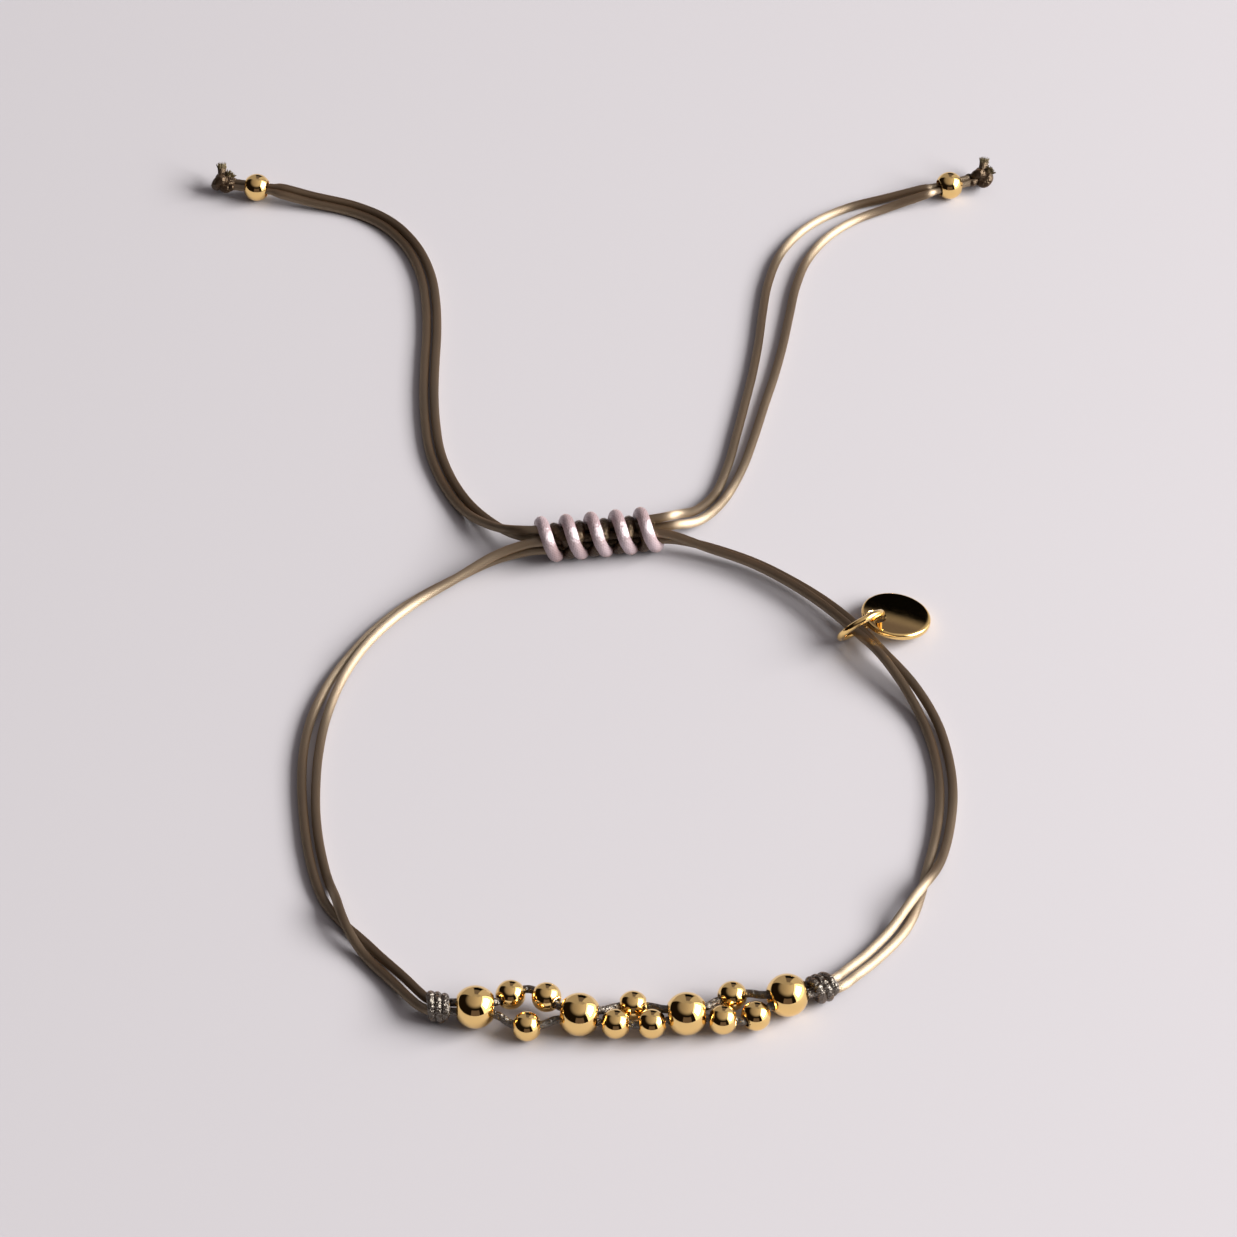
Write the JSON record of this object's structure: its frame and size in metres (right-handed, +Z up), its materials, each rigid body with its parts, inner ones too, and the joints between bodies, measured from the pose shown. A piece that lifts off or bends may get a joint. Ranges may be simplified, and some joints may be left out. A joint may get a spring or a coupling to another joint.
{
  "type": "silk cord bracelet with gold beads and a disc charm",
  "caption": "Adjustable bracelet of doubled satin cord: a round wrist loop with woven-in gold beads, a sliding knot, two beaded tails and a plain disc charm on a ring.",
  "frame": {"origin": "middle of the wrist loop on the surface that the bracelet lies on, measured without the two tails", "axes": "+Z up from the surface, +Y from the front beads to the sliding knot, +X to the side where the charm hangs"},
  "size_m": [0.0931, 0.1341, 0.0054],
  "materials": {
    "cord": "satin",
    "knotted_cord": "satin",
    "gold_bead": "polished",
    "gold_charm": "polished"
  },
  "bodies": {
    "root": {"loop_left_a": "cord", "loop_left_b": "cord", "loop_right_a": "cord", "loop_right_b": "cord", "tail_left_a": "cord", "tail_left_b": "cord", "tail_right_a": "cord", "tail_right_b": "cord", "bead_cord_a": "cord", "bead_cord_b": "cord", "big_bead_1": "gold_bead", "big_bead_2": "gold_bead", "big_bead_3": "gold_bead", "big_bead_4": "gold_bead", "small_bead_1": "gold_bead", "small_bead_2": "gold_bead", "small_bead_3": "gold_bead", "small_bead_4": "gold_bead", "small_bead_5": "gold_bead", "small_bead_6": "gold_bead", "small_bead_7": "gold_bead", "small_bead_8": "gold_bead", "small_bead_9": "gold_bead", "tail_bead_left": "gold_bead", "tail_bead_right": "gold_bead", "left_knot": "knotted_cord", "right_knot": "knotted_cord", "end_knot_left": "knotted_cord", "end_knot_right": "knotted_cord", "sliding_knot": "knotted_cord", "jump_ring": "gold_charm", "charm_disc": "gold_charm"}
  },
  "joints": []
}
